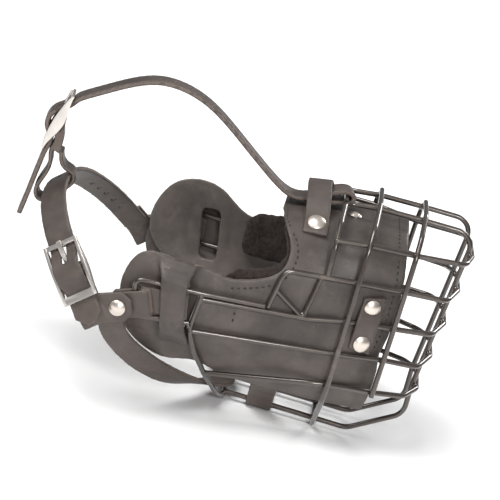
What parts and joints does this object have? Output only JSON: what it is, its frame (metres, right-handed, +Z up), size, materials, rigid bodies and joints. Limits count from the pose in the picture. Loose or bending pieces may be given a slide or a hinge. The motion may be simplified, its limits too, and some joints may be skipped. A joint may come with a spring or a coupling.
{
  "type": "basket muzzle",
  "caption": "Wire basket dog muzzle with a felt-lined leather nosepiece, cheek pads and a buckled leather harness that pivots at the cheek rivets.",
  "frame": {"origin": "centre of the bounding box's footprint, on the surface the basket's two bottom cross wires stand on", "axes": "+X towards the dog's nose, +Y to the dog's left, +Z up"},
  "size_m": [0.2442, 0.1718, 0.1654],
  "materials": {
    "wire": "gloss",
    "body_leather": "satin",
    "strap_leather": "satin",
    "felt": "matte",
    "buckle_metal": "polished",
    "rivet_metal": "polished"
  },
  "bodies": {
    "cage": {"arm_left": "wire", "arm_right": "wire", "brace_left": "wire", "brace_right": "wire", "cheek_pad_left": "body_leather", "cheek_pad_right": "body_leather", "cheek_rivet_left": "rivet_metal", "cheek_rivet_right": "rivet_metal", "cheek_tab_left": "strap_leather", "cheek_tab_right": "strap_leather", "crown_strap": "strap_leather", "felt_lining": "felt", "heel_wire": "wire", "hoop_front": "wire", "hoop_rear": "wire", "keeper_band": "strap_leather", "keeper_rivet_left": "rivet_metal", "keeper_rivet_right": "rivet_metal", "long_wire_left": "wire", "long_wire_right": "wire", "nose_rivet": "rivet_metal", "nosepiece": "body_leather", "side_tab_left": "strap_leather", "side_tab_right": "strap_leather", "side_wire_1": "wire", "side_wire_2": "wire", "side_wire_3": "wire", "side_wire_4": "wire", "side_wire_5": "wire", "sling": "strap_leather", "strut_left": "wire", "strut_right": "wire", "tab_rivet_lower_left": "rivet_metal", "tab_rivet_lower_right": "rivet_metal", "tab_rivet_upper_left": "rivet_metal", "tab_rivet_upper_right": "rivet_metal", "throat_strap": "strap_leather", "top_cross_wire": "wire"},
    "harness": {"neck_strap": "strap_leather", "buckle_strap": "strap_leather", "hinge_strap": "strap_leather", "neck_buckle": "buckle_metal", "loop_strap": "strap_leather", "crown_buckle": "buckle_metal"},
    "neck_tongue": {"neck_tongue": "buckle_metal"},
    "crown_tongue": {"crown_tongue": "buckle_metal"}
  },
  "joints": [
    {"name": "harness_pitch", "type": "hinge", "parent": "cage", "child": "harness", "pos_m": [-0.04942, 0.00224, 0.0584], "axis": [0, 1, 0], "range_deg": [-15, 20], "deforming": ["crown_strap"]},
    {"name": "neck_tongue_hinge", "type": "hinge", "parent": "harness", "child": "neck_tongue", "pos_m": [-0.07691, -0.07585, 0.06851], "axis": [0.7513, 0, 0.66], "range_deg": [0, 10]},
    {"name": "crown_tongue_hinge", "type": "hinge", "parent": "harness", "child": "crown_tongue", "pos_m": [-0.11063, -0.02066, 0.12929], "axis": [0.1547, -0.988, 0], "range_deg": [0, 10]}
  ]
}
